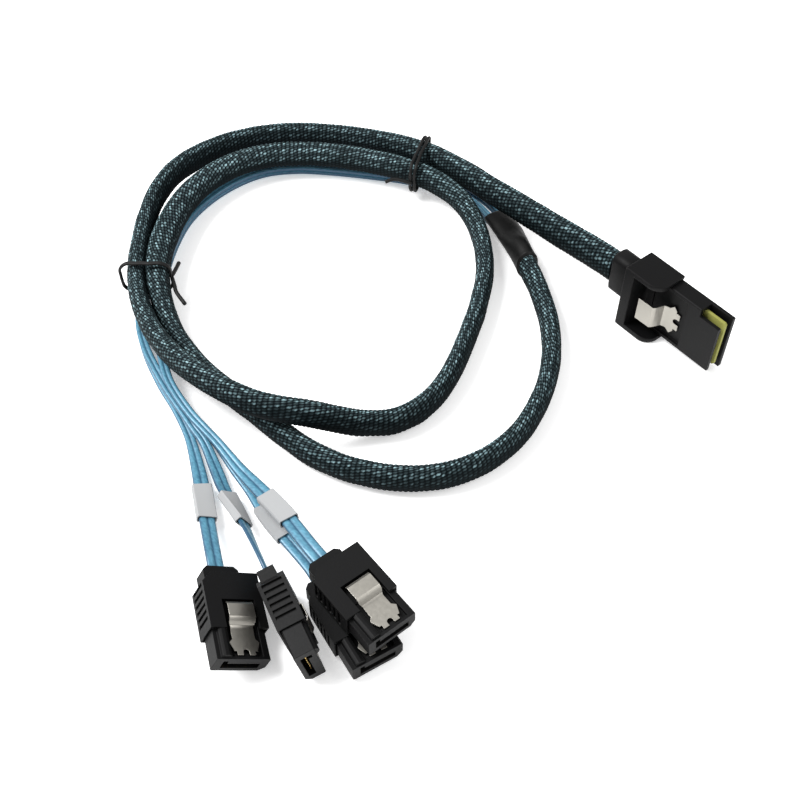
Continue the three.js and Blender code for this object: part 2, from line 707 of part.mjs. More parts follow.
function tieMesh(name) {
  const { at, yaw, reach, ends } = ties[name];
  const half = tieThickness / 2;
  const tall = tieHalfHeight;
  const outer = roundedRect(-reach - half, reach + half, -tall - half, tall + half, tieCorner + half);
  outer.holes.push(roundedRect(-reach + half, reach - half, -tall + half, tall - half, tieCorner - half));
  const band = alongY(outer, -tieWidth / 2, tieWidth / 2, 3).rotate([0, 0, yaw]).translate(at);
  const tails = ends.map((points) => toSolid(sweep(ellipse(tieWire, tieWire), curveThrough(points), 8)));
  return named(`twist_tie_${name}`, toGeometry(joined(band, ...tails)), tieBlack);
}

const plugsMiddle = [23.74, -24.07]; // the origin lies on the floor, midway between the plugs' outer faces
const assembly = new THREE.Group();
assembly.position.set(-plugsMiddle[0], -plugsMiddle[1], 0);
assembly.add(widePlugGroup());
narrowPlugPlaces.forEach((place, i) => assembly.add(narrowPlugGroup(place, i + 1)));
assembly.add(sleeveMesh(), shrinkMesh());
for (let number = 1; number <= 4; number++) assembly.add(ribbonMesh(number), labelMesh(number));
assembly.add(tieMesh("top"), tieMesh("left"));

export default assembly;
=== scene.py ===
import math
import random

import bmesh
import bpy
from mathutils import Matrix, Vector, noise


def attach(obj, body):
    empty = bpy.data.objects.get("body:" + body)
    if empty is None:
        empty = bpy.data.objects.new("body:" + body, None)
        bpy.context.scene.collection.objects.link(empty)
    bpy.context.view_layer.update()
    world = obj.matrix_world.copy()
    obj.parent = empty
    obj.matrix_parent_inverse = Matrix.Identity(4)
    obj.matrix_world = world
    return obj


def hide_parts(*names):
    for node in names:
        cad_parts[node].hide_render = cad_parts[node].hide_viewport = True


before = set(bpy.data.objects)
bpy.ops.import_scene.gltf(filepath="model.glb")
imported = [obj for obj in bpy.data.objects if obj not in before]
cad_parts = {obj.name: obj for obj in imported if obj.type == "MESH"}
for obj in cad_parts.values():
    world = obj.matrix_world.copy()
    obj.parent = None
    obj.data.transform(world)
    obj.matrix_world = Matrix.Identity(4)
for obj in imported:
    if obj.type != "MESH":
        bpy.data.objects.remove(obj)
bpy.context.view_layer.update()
random.seed(11)
mm = 0.001
plugsMiddle = Vector((23.74, -24.07, 0))  # the frame's origin, in the millimetres of the lists below
print("frame loaded")


def spot(point):
    return (Vector(point) - plugsMiddle) * mm


def smoothstep(low, high, value):
    t = min(max((value - low) / (high - low), 0), 1)
    return t * t * (3 - 2 * t)


# Camera, floor and light
view = {"at": (0, -221.5, 264), "tilt": 40, "lens": 49.5, "near": 0.01}
cameraData = bpy.data.cameras.new("camera")
cameraData.lens = view["lens"]
cameraData.clip_start = view["near"]
camera = bpy.data.objects.new("camera", cameraData)
camera.location = spot(view["at"])
camera.rotation_euler = (math.radians(view["tilt"]), 0, 0)
bpy.context.collection.objects.link(camera)
bpy.context.scene.camera = camera

# Floor and lamps, in metres
studio = {
    "floor": (0.93, 0.93, 0.93), "floorSize": 6, "floorDrop": 0.0003, "floorGlow": 0.35,
    "sky": 0.7, "key": 14, "fill": 3,
}
bpy.ops.mesh.primitive_plane_add(size=studio["floorSize"], location=(0, 0, -studio["floorDrop"]))
floor = bpy.context.object
floor.name = "floor"
lamps = [
    ("key", (-0.6, 0.12, 0.75), 0.5, studio["key"]),
    ("fill", (0.7, -0.1, 0.6), 0.6, studio["fill"]),
]
for lampName, lampAt, lampSize, lampPower in lamps:
    lampData = bpy.data.lights.new(lampName, "AREA")
    lampData.size = lampSize
    lampData.energy = lampPower
    lamp = bpy.data.objects.new(lampName, lampData)
    lamp.location = lampAt
    lamp.rotation_euler = (-Vector(lampAt)).to_track_quat("-Z", "Y").to_euler()
    bpy.context.collection.objects.link(lamp)
world = bpy.data.worlds.new("sky")
world.use_nodes = True
world.node_tree.nodes["Background"].inputs["Color"].default_value = (1, 1, 1, 1)
world.node_tree.nodes["Background"].inputs["Strength"].default_value = studio["sky"]
bpy.context.scene.world = world
bpy.context.scene.view_settings.view_transform = "Standard"


# Materials: a grain's depth is in metres
grainShape = {"detail": 4, "strength": 0.3, "depth": 0.00005, "unevenness": 0.08}


def plainMaterial(name, look):
    material = bpy.data.materials.new(name)
    material.use_nodes = True
    nodes = material.node_tree.nodes
    links = material.node_tree.links
    shader = nodes["Principled BSDF"]
    shader.inputs["Base Color"].default_value = (*look["color"], 1)
    shader.inputs["Roughness"].default_value = look["roughness"]
    shader.inputs["Metallic"].default_value = look.get("metallic", 0)
    shader.inputs["Specular IOR Level"].default_value = look.get("specular", 0.5)
    if "grain" in look:
        coordinates = nodes.new("ShaderNodeTexCoord")
        grain = nodes.new("ShaderNodeTexNoise")
        grain.inputs["Scale"].default_value = look["grain"]
        grain.inputs["Detail"].default_value = grainShape["detail"]
        bump = nodes.new("ShaderNodeBump")
        bump.inputs["Strength"].default_value = look.get("grainStrength", grainShape["strength"])
        bump.inputs["Distance"].default_value = grainShape["depth"]
        links.new(coordinates.outputs["Object"], grain.inputs["Vector"])
        links.new(grain.outputs["Fac"], bump.inputs["Height"])
        links.new(bump.outputs["Normal"], shader.inputs["Normal"])
        uneven = nodes.new("ShaderNodeMapRange")
        uneven.inputs["To Min"].default_value = look["roughness"] - grainShape["unevenness"]
        uneven.inputs["To Max"].default_value = look["roughness"] + grainShape["unevenness"]
        links.new(grain.outputs["Fac"], uneven.inputs["Value"])
        links.new(uneven.outputs["Result"], shader.inputs["Roughness"])
    return material


def paintedMaterial(name, look):
    # Painted light and shade: base colour between a shaded and a lit colour, by the piece's own "shade"
    # attribute
    material = plainMaterial(name, look)
    nodes = material.node_tree.nodes
    links = material.node_tree.links
    shade = nodes.new("ShaderNodeAttribute")
    shade.attribute_name = "shade"
    mix = nodes.new("ShaderNodeMix")
    mix.data_type = "RGBA"
    mix.inputs["A"].default_value = (*look["color"], 1)
    mix.inputs["B"].default_value = (*look["lit"], 1)
    links.new(shade.outputs["Fac"], mix.inputs["Factor"])
    links.new(mix.outputs["Result"], nodes["Principled BSDF"].inputs["Base Color"])
    return material


looks = {
    "plug_black": {"color": (0.0022, 0.0022, 0.0024), "roughness": 0.5, "specular": 0.13, "grain": 2600},
    "boot_black": {
        "color": (0.003, 0.003, 0.0032), "roughness": 0.55, "specular": 0.13,
        "grain": 1500, "grainStrength": 0.5,
    },
    "card": {"color": (0.24, 0.24, 0.06), "roughness": 0.6, "specular": 0.2},
    "latch_metal": {
        "color": (0.36, 0.345, 0.31), "roughness": 0.38, "metallic": 1, "grain": 900, "grainStrength": 0.4,
    },
    "contact_gold": {"color": (0.75, 0.52, 0.18), "roughness": 0.3, "metallic": 1},
    "shrink": {"color": (0.003, 0.003, 0.003), "roughness": 0.5, "specular": 0.2},
    "label": {"color": (0.3, 0.305, 0.31), "roughness": 0.8, "specular": 0.1},
    "tie": {"color": (0.004, 0.004, 0.004), "roughness": 0.55, "specular": 0.2},
}
# Each look has a dark colour and a lit colour; the "shade" attribute mixes them into painted highlights and
# painted shade
paintedLooks = {
    "braid": {
        "color": (0.0008, 0.0018, 0.0024), "lit": (0.46, 0.7, 0.76), "roughness": 0.7, "specular": 0.03,
    },
    "ribbon": {
        "color": (0.004, 0.035, 0.085), "lit": (0.11, 0.3, 0.41), "roughness": 0.36, "metallic": 0.1,
    },
}
materials = {name: plainMaterial(name, look) for name, look in looks.items()}
for name, look in paintedLooks.items():
    materials[name] = paintedMaterial(name, look)
floorLook = {"color": studio["floor"], "roughness": 0.9, "specular": 0.1}
floor.data.materials.append(plainMaterial("floor", floorLook))
floorShader = floor.data.materials[0].node_tree.nodes["Principled BSDF"]
floorShader.inputs["Emission Color"].default_value = (1, 1, 1, 1)
floorShader.inputs["Emission Strength"].default_value = studio["floorGlow"]


# Curves and lofted tubes
fineSteps = 24  # between two points of a route


def smoothPath(points, spacing):
    # Centripetal Catmull-Rom through the points, then steps of equal length
    points = [Vector(p) for p in points]
    ends = [2 * points[0] - points[1], *points, 2 * points[-1] - points[-2]]
    fine = []
    for a, b, c, d in zip(ends, ends[1:], ends[2:], ends[3:]):
        ta = 0.0
        tb = ta + math.sqrt((b - a).length)
        tc = tb + math.sqrt((c - b).length)
        td = tc + math.sqrt((d - c).length)
        for step in range(fineSteps):
            t = tb + (tc - tb) * step / fineSteps
            ab = a.lerp(b, (t - ta) / (tb - ta))
            bc = b.lerp(c, (t - tb) / (tc - tb))
            cd = c.lerp(d, (t - tc) / (td - tc))
            abc = ab.lerp(bc, (t - ta) / (tc - ta))
            bcd = bc.lerp(cd, (t - tb) / (td - tb))
            fine.append(abc.lerp(bcd, (t - tb) / (tc - tb)))
    fine.append(points[-1])
    reach = [0.0]
    for a, b in zip(fine, fine[1:]):
        reach.append(reach[-1] + (b - a).length)
    count = max(round(reach[-1] / spacing), 2)
    path = []
    j = 0
    for i in range(count + 1):
        target = reach[-1] * i / count
        while j < len(reach) - 2 and reach[j + 1] < target:
            j += 1
        share = (target - reach[j]) / (reach[j + 1] - reach[j])
        path.append(fine[j].lerp(fine[j + 1], min(max(share, 0), 1)))
    return path


def uprightFrames(path):
    # At each point: across the path and level, then upwards
    frames = []
    for i in range(len(path)):
        along = (path[min(i + 1, len(path) - 1)] - path[max(i - 1, 0)]).normalized()
        level = along.cross(Vector((0, 0, 1))).normalized()
        frames.append((level, level.cross(along)))
    return frames


def pathLength(path):
    return sum((b - a).length for a, b in zip(path, path[1:]))


def addObject(name, mesh, material, body="cable"):
    piece = bpy.data.objects.new(name, mesh)
    bpy.context.collection.objects.link(piece)
    piece.data.materials.append(materials[material])
    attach(piece, body)
    return piece


def bridge(bm, near, far):
    # Faces between two rings of equal point count
    for k in range(len(near)):
        n = (k + 1) % len(near)
        bm.faces.new((near[k], near[n], far[n], far[k]))


def meshOf(bm, name):
    bmesh.ops.recalc_face_normals(bm, faces=bm.faces)
    mesh = bpy.data.meshes.new(name)
    bm.to_mesh(mesh)
    bm.free()
    return mesh


def loft(name, rings, material, shades=None, closed=False):
    # Skins rings of equal point count, given in millimetres, and caps the two ends unless they meet
    bm = bmesh.new()
    grid = [[bm.verts.new(spot(p)) for p in ring] for ring in rings]
    for near, far in zip(grid, grid[1:]):
        bridge(bm, near, far)
    if closed:
        bridge(bm, grid[-1], grid[0])
    else:
        for ring in (grid[0], grid[-1]):
            rim = [edge for edge in bm.edges if edge.is_boundary and edge.verts[0] in ring]
            bmesh.ops.holes_fill(bm, edges=rim, sides=0)
    for face in bm.faces:
        face.smooth = True
    mesh = meshOf(bm, name)
    if shades:
        attribute = mesh.attributes.new("shade", "FLOAT", "POINT")
        for i, value in enumerate(v for ring in shades for v in ring):
            attribute.data[i].value = value
    return addObject(name, mesh, material)


def sectionRings(path, section, roll=lambda t: 0):
    # section(t) gives the outline as (across, up) pairs
    rings = []
    frames = uprightFrames(path)
    for i, (point, (level, rise)) in enumerate(zip(path, frames)):
        t = i / (len(path) - 1)
        turn = Matrix.Rotation(roll(t), 2)
        ring = []
        for pair in section(t):
            across, up = turn @ Vector(pair)
            ring.append(point + level * across + rise * up)
        rings.append(ring)
    return rings


def oval(width, height, count=24):
    return [
        (width / 2 * math.cos(2 * math.pi * k / count), height / 2 * math.sin(2 * math.pi * k / count))
        for k in range(count)
    ]


# Braided sleeve: raised strands in staggered rows over an oval
sleeve = {
    "height": 10.4, "thickness": 6.4, "around": 52, "step": 0.5, "weave": 0.1,
    "lump": 0.16, "lumpScale": 0.16, "startHeight": 13, "startThickness": 7, "taper": 110,
    "flattened": {"from": 500, "to": 675, "ease": 55, "wider": 3.4, "lower": 2},
    "route": [
        (71.5, 46.4, 13.3), (68.7, 49.9, 13.1), (64.5, 54.8, 12.7), (59, 60.4, 12.4), (51, 68.5, 12.4),
        (42, 77.5, 12.4), (32.5, 87, 12.3), (23, 97.5, 11.8), (13, 107.8, 10.4), (2, 116.2, 8.6),
        (-11, 123.5, 6.4), (-25, 127.8, 5.4), (-38.5, 129, 5.3), (-52, 127.5, 5.3), (-64.5, 122.6, 5.6),
        (-75, 114, 6.6), (-82.5, 103, 8), (-87, 90, 8.8), (-88.8, 76, 9), (-89, 62.5, 9.3),
        (-88.2, 49.5, 9.6), (-85.8, 37, 9.6), (-81.2, 25, 10.4), (-75.2, 14, 12), (-68, 4.5, 13.8),
        (-60.5, -3, 15.2), (-52, -9.5, 16), (-43.5, -14.5, 16.5), (-35.5, -17, 16.3), (-28, -17, 14.4),
        (-20.5, -16, 10.8), (-11.5, -14.8, 7), (-1, -12.6, 5.5), (8, -6.2, 5.3), (15, 4.5, 5.3),
        (21, 20, 5.3), (25.8, 36, 5.3), (28.8, 52, 5.3), (28.4, 67.5, 5.8), (25.2, 80, 7),
        (20.2, 88.4, 8.4), (12.5, 95.6, 9.4), (2, 102, 9.6), (-11, 107.8, 9), (-25, 111.5, 8.8),
        (-38.5, 112.5, 8.8), (-51.5, 110.5, 8.8), (-62.5, 104.8, 8.8), (-71.5, 95.5, 8.8), (-77.5, 83.5, 8.9),
        (-80.6, 70, 9.2), (-81.8, 56, 9.4), (-80.2, 43, 9.4), (-76.2, 30.5, 8), (-70, 18.5, 6.2),
        (-62, 8, 5.4), (-52.5, -1.5, 5.3), (-43, -10, 5.3), (-34, -18.5, 5.3), (-24.5, -26, 5.3),
        (-13, -31.4, 5.3), (0, -34, 5.3), (13, -33, 5.3), (25, -27.6, 5.3), (36, -17, 5.3),
        (43.6, -3, 5.3), (47.8, 12, 5.3), (48.6, 28, 5.3), (46.6, 43, 5.3), (43.6, 55.2, 5.3),
    ],
}
# The strands' shade: painted glints (painted highlights) on the side that faces the light, stronger along the
# ridges, over a dark ground with random tone patches
glint = {
    "light": Vector((-0.25, 0.05, 0.97)), "from": -0.3, "to": 0.9,
    "ridges": 9, "ridgeDrift": 4, "driftScale": 0.02, "faint": 0.04, "bright": 0.85,
    "ground": 0.002, "patch": 0.004, "patchScale": 0.09, "strand": 0.012,
}


def sleeveGirth(reached):
    # Half the thickness and half the height: fuller at the start, and flatter in one stretch
    flat = sleeve["flattened"]
    wide = 1 - smoothstep(0, sleeve["taper"], reached)
    spread = smoothstep(flat["from"], flat["from"] + flat["ease"], reached)
    spread *= 1 - smoothstep(flat["to"] - flat["ease"], flat["to"], reached)
    across = sleeve["thickness"] + (sleeve["startThickness"] - sleeve["thickness"]) * wide
    upwards = sleeve["height"] + (sleeve["startHeight"] - sleeve["height"]) * wide
    return (across + flat["wider"] * spread) / 2, (upwards - flat["lower"] * spread) / 2


def strandShade(point, base, angle, outward, raised):
    shade = glint["ground"] + glint["patch"] * max(noise.noise(base * glint["patchScale"]), 0)
    if raised:
        facing = smoothstep(glint["from"], glint["to"], outward.dot(glint["light"]))
        drift = glint["ridgeDrift"] * noise.noise(point * glint["driftScale"])
        ridge = 0.5 + 0.5 * math.cos(angle * glint["ridges"] + drift)
        # Painted highlight: raised strands that face the light are lighter, more so along the ridges
        shade += glint["strand"] + facing * (glint["faint"] + glint["bright"] * ridge * random.random() ** 2)
    return shade


sleevePath = smoothPath(sleeve["route"], sleeve["step"])
rings = []
shades = []
for i, (point, (level, rise)) in enumerate(zip(sleevePath, uprightFrames(sleevePath))):
    halfAcross, halfUp = sleeveGirth(i * sleeve["step"])
    ring = []
    shadeRing = []
    for k in range(sleeve["around"]):
        angle = 2 * math.pi * k / sleeve["around"]
        across, up = math.cos(angle), math.sin(angle)
        outward = (level * (across / halfAcross) + rise * (up / halfUp)).normalized()
        base = point + level * (across * halfAcross) + rise * (up * halfUp)
        # A strand is two rings long, then one ring lies low and the next strands are staggered
        raised = i % 3 != 2 and (k + i // 3) % 2 == 0
        lump = noise.noise(base * sleeve["lumpScale"]) * sleeve["lump"]
        weave = sleeve["weave"] if raised else -sleeve["weave"]
        ring.append(base + outward * (weave + lump - sleeve["lump"]))
        shadeRing.append(strandShade(point, base, angle, outward, raised))
    rings.append(ring)
    shades.append(shadeRing)
braidedSleeve = loft("braidedSleeve", rings, "braid", shades)
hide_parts("braided_sleeve")
print("sleeve", round(pathLength(sleevePath)), "mm")

# Heat-shrink tube, from the sleeve's end to the ribbons
shrink = {
    "width": 7.4, "height": 11.2, "endWidth": 10, "endHeight": 4.6, "flattens": (0.12, 0.62),
    "lip": 0.3, "lipEnds": 0.05, "step": 0.5, "around": 40,
    "wrinkle": 0.048, "wrinkleAround": 0.5, "wrinkleAlong": 5,
    "route": [(43.5, 55.6, 5.7), (41.4, 63.6, 5.4), (38.6, 73.6, 4.4), (35, 84, 3)],
}
shrinkPath = smoothPath(shrink["route"], shrink["step"])


def shrinkSection(t):
    flat = smoothstep(*shrink["flattens"], t)
    lip = shrink["lip"] * (1 - smoothstep(0, shrink["lipEnds"], t))
    width = shrink["width"] + (shrink["endWidth"] - shrink["width"]) * flat + lip
    height = shrink["height"] + (shrink["endHeight"] - shrink["height"]) * flat + lip
    outline = []
    for x, y in oval(width, height, shrink["around"]):
        place = Vector((x * shrink["wrinkleAround"], y * shrink["wrinkleAround"], t * shrink["wrinkleAlong"]))
        dent = 1 - shrink["wrinkle"] * abs(noise.noise(place))
        outline.append((x * dent, y * dent))
    return outline


heatShrink = loft("heatShrink", sectionRings(shrinkPath, shrinkSection), "shrink")
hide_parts("heat_shrink")

# Ribbons: each has two raised cores with a groove between them
ribbon = {
    "width": 4.6, "thickness": 1.3, "groove": 0.28, "gap": 0.3, "step": 0.6,
    "corePoints": 12, "coreRoundness": 0.6, "edgeFrom": 0.9, "edgeHeight": 0.5, "lowShade": 0.15,
    "bunched": 0.62, "opens": (0.8, 0.9), "fuller": 0.3, "rolls": (0.78, 1), "sparkleFlecks": 0.5, "straight": 5,
    "stack": [
        (34.6, 85, 1.6), (29.5, 93, 1.6), (22.4, 99.8, 1.6), (13.2, 105.4, 1.6), (2.6, 108.9, 1.6),
        (-10.6, 111.7, 1.6), (-24.8, 114, 1.6), (-38.8, 115.1, 1.6), (-52, 112.8, 1.6), (-62.9, 106, 1.6),
        (-72, 96.2, 1.6), (-78.6, 84.5, 1.6), (-82, 71.3, 1.6), (-83.5, 58, 1.6), (-83.8, 46, 1.6),
        (-83.8, 34, 1.6),
    ],
}
# Side and layer say where in the stack a ribbon lies, and label how far its label is from the plug
plugs = [
    {
        "at": (-41.7, -94, 4.6), "yaw": 15.8, "roll": 28.8, "side": 1, "layer": -1, "label": 20,
        "tail": [
            (-82.5, 20.5, 0.8), (-75.6, 6, 0.8), (-69.4, -4.4, 0.8), (-65.2, -12.6, 0.8),
            (-63.2, -17.3, 0.9), (-59.6, -28.4, 1.6), (-57.4, -36.3, 2.6), (-54.6, -47.4, 4.2),
        ],
    },
    {
        "at": (-25.1, -95.8, 8.1), "yaw": 25.5, "roll": 80, "side": 1, "layer": 1, "label": 21,
        "tail": [
            (-82.5, 20.5, 3.4), (-74.4, 4.5, 4), (-66, -8.6, 4.1), (-62, -14.7, 4),
            (-58.9, -18.8, 3.2), (-54.1, -29.2, 2.9), (-50.9, -36.6, 3.4), (-44.6, -48.2, 5.4),
        ],
    },
    {
        "at": (-1.9, -87.8, 9.7), "yaw": 38.3, "roll": 0, "side": -1, "layer": 1, "label": 17.5,
        "tail": [
            (-77.6, 20.5, 4.5), (-72.1, 3.5, 5.7), (-63.7, -10, 5.8), (-58.6, -16, 5.6),
            (-54.2, -20.8, 4.9), (-46.8, -30.4, 4.6), (-40.8, -38, 6.2), (-32.4, -49.2, 9.4),
        ],
    },
    {
        "at": (-5.6, -91, 0.8), "yaw": 31, "roll": 0, "side": -1, "layer": -1, "label": 18,
        "tail": [
            (-77.2, 20.5, 2.2), (-72.6, 5.5, 2.4), (-64.9, -7.2, 2.4), (-60, -13.1, 2.2),
            (-56, -17.3, 1.5), (-48.6, -27.8, 0.8), (-43.3, -35, 0.8), (-37, -45.6, 2),
        ],
    },
]
# Where a ribbon enters its plug, in the plug's own frame
plugNeck = {"shift": -1.4, "height": 2.8, "back": 28.5}


def plugSpot(plug, point):
    yaw = Matrix.Rotation(math.radians(plug["yaw"]), 3, "Z")
    roll = Matrix.Rotation(math.radians(plug["roll"]), 3, "Y")
    return Vector(plug["at"]) + yaw @ roll @ Vector(point)


def ribbonRoute(plug):
    points = [Vector(p) for p in ribbon["stack"]]
    lane = plug["side"] * (ribbon["width"] + ribbon["gap"]) / 2
    lift = plug["layer"] * (ribbon["thickness"] + ribbon["gap"]) / 2
    route = []
    for i, point in enumerate(points):
        along = (points[min(i + 1, len(points) - 1)] - points[max(i - 1, 0)]).normalized()
        route.append(point + Vector((along.y * lane, -along.x * lane, lift)))
    route += [Vector(p) for p in plug["tail"]]
    for back in (plugNeck["back"] + ribbon["straight"], plugNeck["back"] + ribbon["gap"]):
        route.append(plugSpot(plug, (plugNeck["shift"], back, plugNeck["height"])))
    return route


def ribbonOutline():
    # Runs round the section once; the shade is painted: a painted highlight along the two cores and painted
    # shade at the edges and in the grooves
    half = ribbon["width"] / 2
    tall = ribbon["thickness"] / 2
    top = []
    for k in range(ribbon["corePoints"] + 1):
        x = -1 + 2 * k / ribbon["corePoints"]
        core = abs(math.sin(math.pi * x)) ** ribbon["coreRoundness"]
        y = tall - ribbon["groove"] * (1 - core)
        if abs(x) > ribbon["edgeFrom"]:
            y = tall * ribbon["edgeHeight"]
        shade = ribbon["lowShade"] + (1 - ribbon["lowShade"]) * core
        top.append((x * half, y, shade))
    bottom = [(-x, -y, shade) for x, y, shade in top]
    return [*reversed(top), *reversed(bottom)]


outline = ribbonOutline()


def bunched(t):
    # The two cores lie closer together until the ribbon opens out before its label
    narrow = ribbon["bunched"] + (1 - ribbon["bunched"]) * smoothstep(*ribbon["opens"], t)
    return [(x * narrow, y * (1 + ribbon["fuller"] * (1 - narrow))) for x, y, shade in outline]


def ribbonRoll(plug, t):
    # Level in the stack, then turned as its plug lies
    return math.radians(plug["roll"]) * smoothstep(*ribbon["rolls"], t)


def ribbonPiece(number, plug, path):
    rings = sectionRings(path, bunched, lambda t: ribbonRoll(plug, t))
    # Random flecks break the painted highlight and shade into sparkle
    shades = [[shade * (1 - ribbon["sparkleFlecks"] * random.random()) for x, y, shade in outline] for ring in rings]
    piece = loft(f"ribbon{number}", rings, "ribbon", shades)
    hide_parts(f"ribbon_{number}")
    return piece


# Paper labels, folded round the ribbons; bend and corner are shares of half the height and width
paper = {"length": 13, "gap": 0.3, "wall": 0.3, "bend": 0.6, "corner": 0.9}


def paperLoops():
    loops = []
    for grow in (paper["wall"], 0):
        x = ribbon["width"] / 2 + paper["gap"] + grow
        y = ribbon["thickness"] / 2 + paper["gap"] + grow
        inner, low = x * paper["corner"], y * paper["bend"]
        loops.append([
            (-x, -low), (-inner, -y), (inner, -y), (x, -low),
            (x, low), (inner, y), (-inner, y), (-x, low),
        ])
    return loops


def paperLabel(number, plug, path):
    last = len(path) - 1 - round(plug["label"] / ribbon["step"])
    first = last - round(paper["length"] / ribbon["step"])
    stretch = path[first : last + 1]
    frames = uprightFrames(stretch)
    bm = bmesh.new()
    shells = []
    for loop in paperLoops():
        shell = []
        for i, (point, (level, rise)) in enumerate(zip(stretch, frames)):
            spin = Matrix.Rotation(ribbonRoll(plug, (first + i) / (len(path) - 1)), 2)
            corners = [spin @ Vector(pair) for pair in loop]
            shell.append([bm.verts.new(spot(point + level * c.x + rise * c.y)) for c in corners])
        shells.append(shell)
    for shell in shells:
        for near, far in zip(shell, shell[1:]):
            bridge(bm, near, far)
    for end in (0, -1):
        bridge(bm, shells[0][end], shells[1][end])
    label = addObject(f"label{number}", meshOf(bm, f"label{number}"), "label")
    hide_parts(f"label_{number}")
    return label


for number, plug in enumerate(plugs, 1):
    path = smoothPath(ribbonRoute(plug), ribbon["step"])
    ribbonPiece(number, plug, path)
    paperLabel(number, plug, path)


# Ties: a wire band round both turns of the sleeve, with its loose ends
ties = {
    "top": {
        "at": (7.4, 105.6, 9.6), "yaw": 73.7, "reach": 10.6,
        "turns": (-0.75, 0.75), "width": 1.2, "slack": 0.35,
        "ends": [[(4.3, 94.8, 9), (2, 95.4, 9.5), (-2.2, 96.4, 9.7), (-5.4, 95.8, 9)]],
    },
    "left": {
        "at": (-84.5, 45.6, 9.6), "yaw": 2, "reach": 8.3,
        "turns": (0,), "width": 1.7, "slack": 0.5,
        "ends": [
            [(-76, 45.6, 9), (-74.6, 41.5, 9.4), (-73.6, 38.4, 9.6), (-70.2, 33.4, 9)],
            [(-76, 45.6, 10), (-75.4, 48, 9.8), (-74.7, 53, 9)],
        ],
    },
}
bandShape = {
    "halfHeight": 6, "corner": 3.4, "thickness": 1.05, "around": 10,
    "cornerSteps": 9, "sideSteps": 8, "slackScale": 0.3, "slackSeed": (7, 3),
}
looseWire = {"thickness": 1.35, "around": 12, "step": 0.5}


def bandPath(tie, shift):
    # A rounded rectangle that stands across the two strands
    reach, tall, corner = tie["reach"], bandShape["halfHeight"], bandShape["corner"]
    x, z = reach - corner, tall - corner
    centres = [(x, z), (-x, z), (-x, -z), (x, -z)]
    turn = Matrix.Rotation(math.radians(tie["yaw"]), 3, "Z")
    loop = []
    for side, (x, z) in enumerate(centres):
        for step in range(bandShape["cornerSteps"] + 1):
            angle = math.pi / 2 * (side + step / bandShape["cornerSteps"])
            loop.append(Vector((x + corner * math.cos(angle), shift, z + corner * math.sin(angle))))
        nextX, nextZ = centres[(side + 1) % len(centres)]
        start = loop[-1]
        quarter = math.pi / 2 * (side + 1)
        finish = Vector((nextX + corner * math.cos(quarter), shift, nextZ + corner * math.sin(quarter)))
        for step in range(1, bandShape["sideSteps"]):
            loop.append(start.lerp(finish, step / bandShape["sideSteps"]))
    wavy = []
    for point in loop:
        place = point * bandShape["slackScale"] + Vector((shift, *bandShape["slackSeed"]))
        wobble = noise.noise(place) * tie["slack"]
        wavy.append(Vector(tie["at"]) + turn @ (point + Vector((0, wobble, 0))))
    return wavy, turn


for tieName, tie in ties.items():
    parts = []
    for shift in tie["turns"]:
        loop, turn = bandPath(tie, shift)
        side = turn @ Vector((0, 1, 0))
        section = oval(bandShape["thickness"], tie["width"], bandShape["around"])
        bandRings = []
        for i, point in enumerate(loop):
            along = (loop[(i + 1) % len(loop)] - loop[i - 1]).normalized()
            outward = along.cross(side).normalized()
            bandRings.append([point + outward * x + side * y for x, y in section])
        parts.append(loft(f"tie{tieName}", bandRings, "tie", closed=True))
    section = oval(looseWire["thickness"], looseWire["thickness"], looseWire["around"])
    for end in tie["ends"]:
        endRings = sectionRings(smoothPath(end, looseWire["step"]), lambda t: section)
        parts.append(loft(f"tie{tieName}End", endRings, "tie"))
    bpy.ops.object.select_all(action="DESELECT")
    for part in parts:
        part.select_set(True)
    bpy.context.view_layer.objects.active = parts[0]
    bpy.ops.object.join()
    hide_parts(f"twist_tie_{tieName}")
print("ties")


# Plugs: the solids with softened edges, some of them carved further
widePlug = {"at": (102.6, 13.5, 12.4), "yaw": 38.5, "roll": -90}
wideNeck = {
    "middle": (0.9, 3.9), "width": 15.6, "height": 7.2, "corner": 2.4, "cornerSteps": 5,
    "front": 35.7, "length": 9, "frontRounding": 0.5, "backRounding": 0.7,
}
openCorner = {"from": 7.8, "to": 13, "front": -1, "back": 8.6, "low": 1.4, "high": 8}
boot = {
    "half": 8.1, "front": 8.5, "back": 25.5, "low": -0.8, "high": 6.9, "chamfer": 3, "bevel": 0.35,
    "grooves": 6, "firstGroove": 11.4, "pitch": 2, "grooveWidth": 1, "grooveDepth": 0.7, "margin": 1,
    "pocket": (-3.7, 5.5, 17), "pocketFloor": 4.4, "socket": (-7.75, 7.75, 11.8),
    "socketHeight": (-0.3, 5.9), "neck": (-6.5, 3.7, 28.5), "neckHeight": (0.4, 5.2),
    "neckCorner": 1.2, "neckRoot": 2,
}
cutReach = {"front": 1, "above": 1, "side": 1.9}  # how far the cuts reach past a boot
weld = {"distance": 0.002, "flat": 1, "sharp": 30, "segments": 2}


def rectangle(x0, x1, y0, y1):
    return [(x0, y0), (x1, y0), (x1, y1), (x0, y1)]


# The wide nose has one corner open, so that the card's edge shows
openSide = rectangle(openCorner["from"], openCorner["to"], openCorner["front"], openCorner["back"])
openings = {"mini_sas_nose": (widePlug, [(openSide, openCorner["low"], openCorner["high"])])}


def prismMesh(name, place, prisms):
    # Each prism is an outline in the plug's own x and y, and its lowest and highest z
    bm = bmesh.new()
    for outline, low, high in prisms:
        lower = [bm.verts.new(spot(plugSpot(place, (x, y, low)))) for x, y in outline]
        upper = [bm.verts.new(spot(plugSpot(place, (x, y, high)))) for x, y in outline]
        bm.faces.new(lower)
        bm.faces.new(upper)
        bridge(bm, lower, upper)
    return meshOf(bm, name)


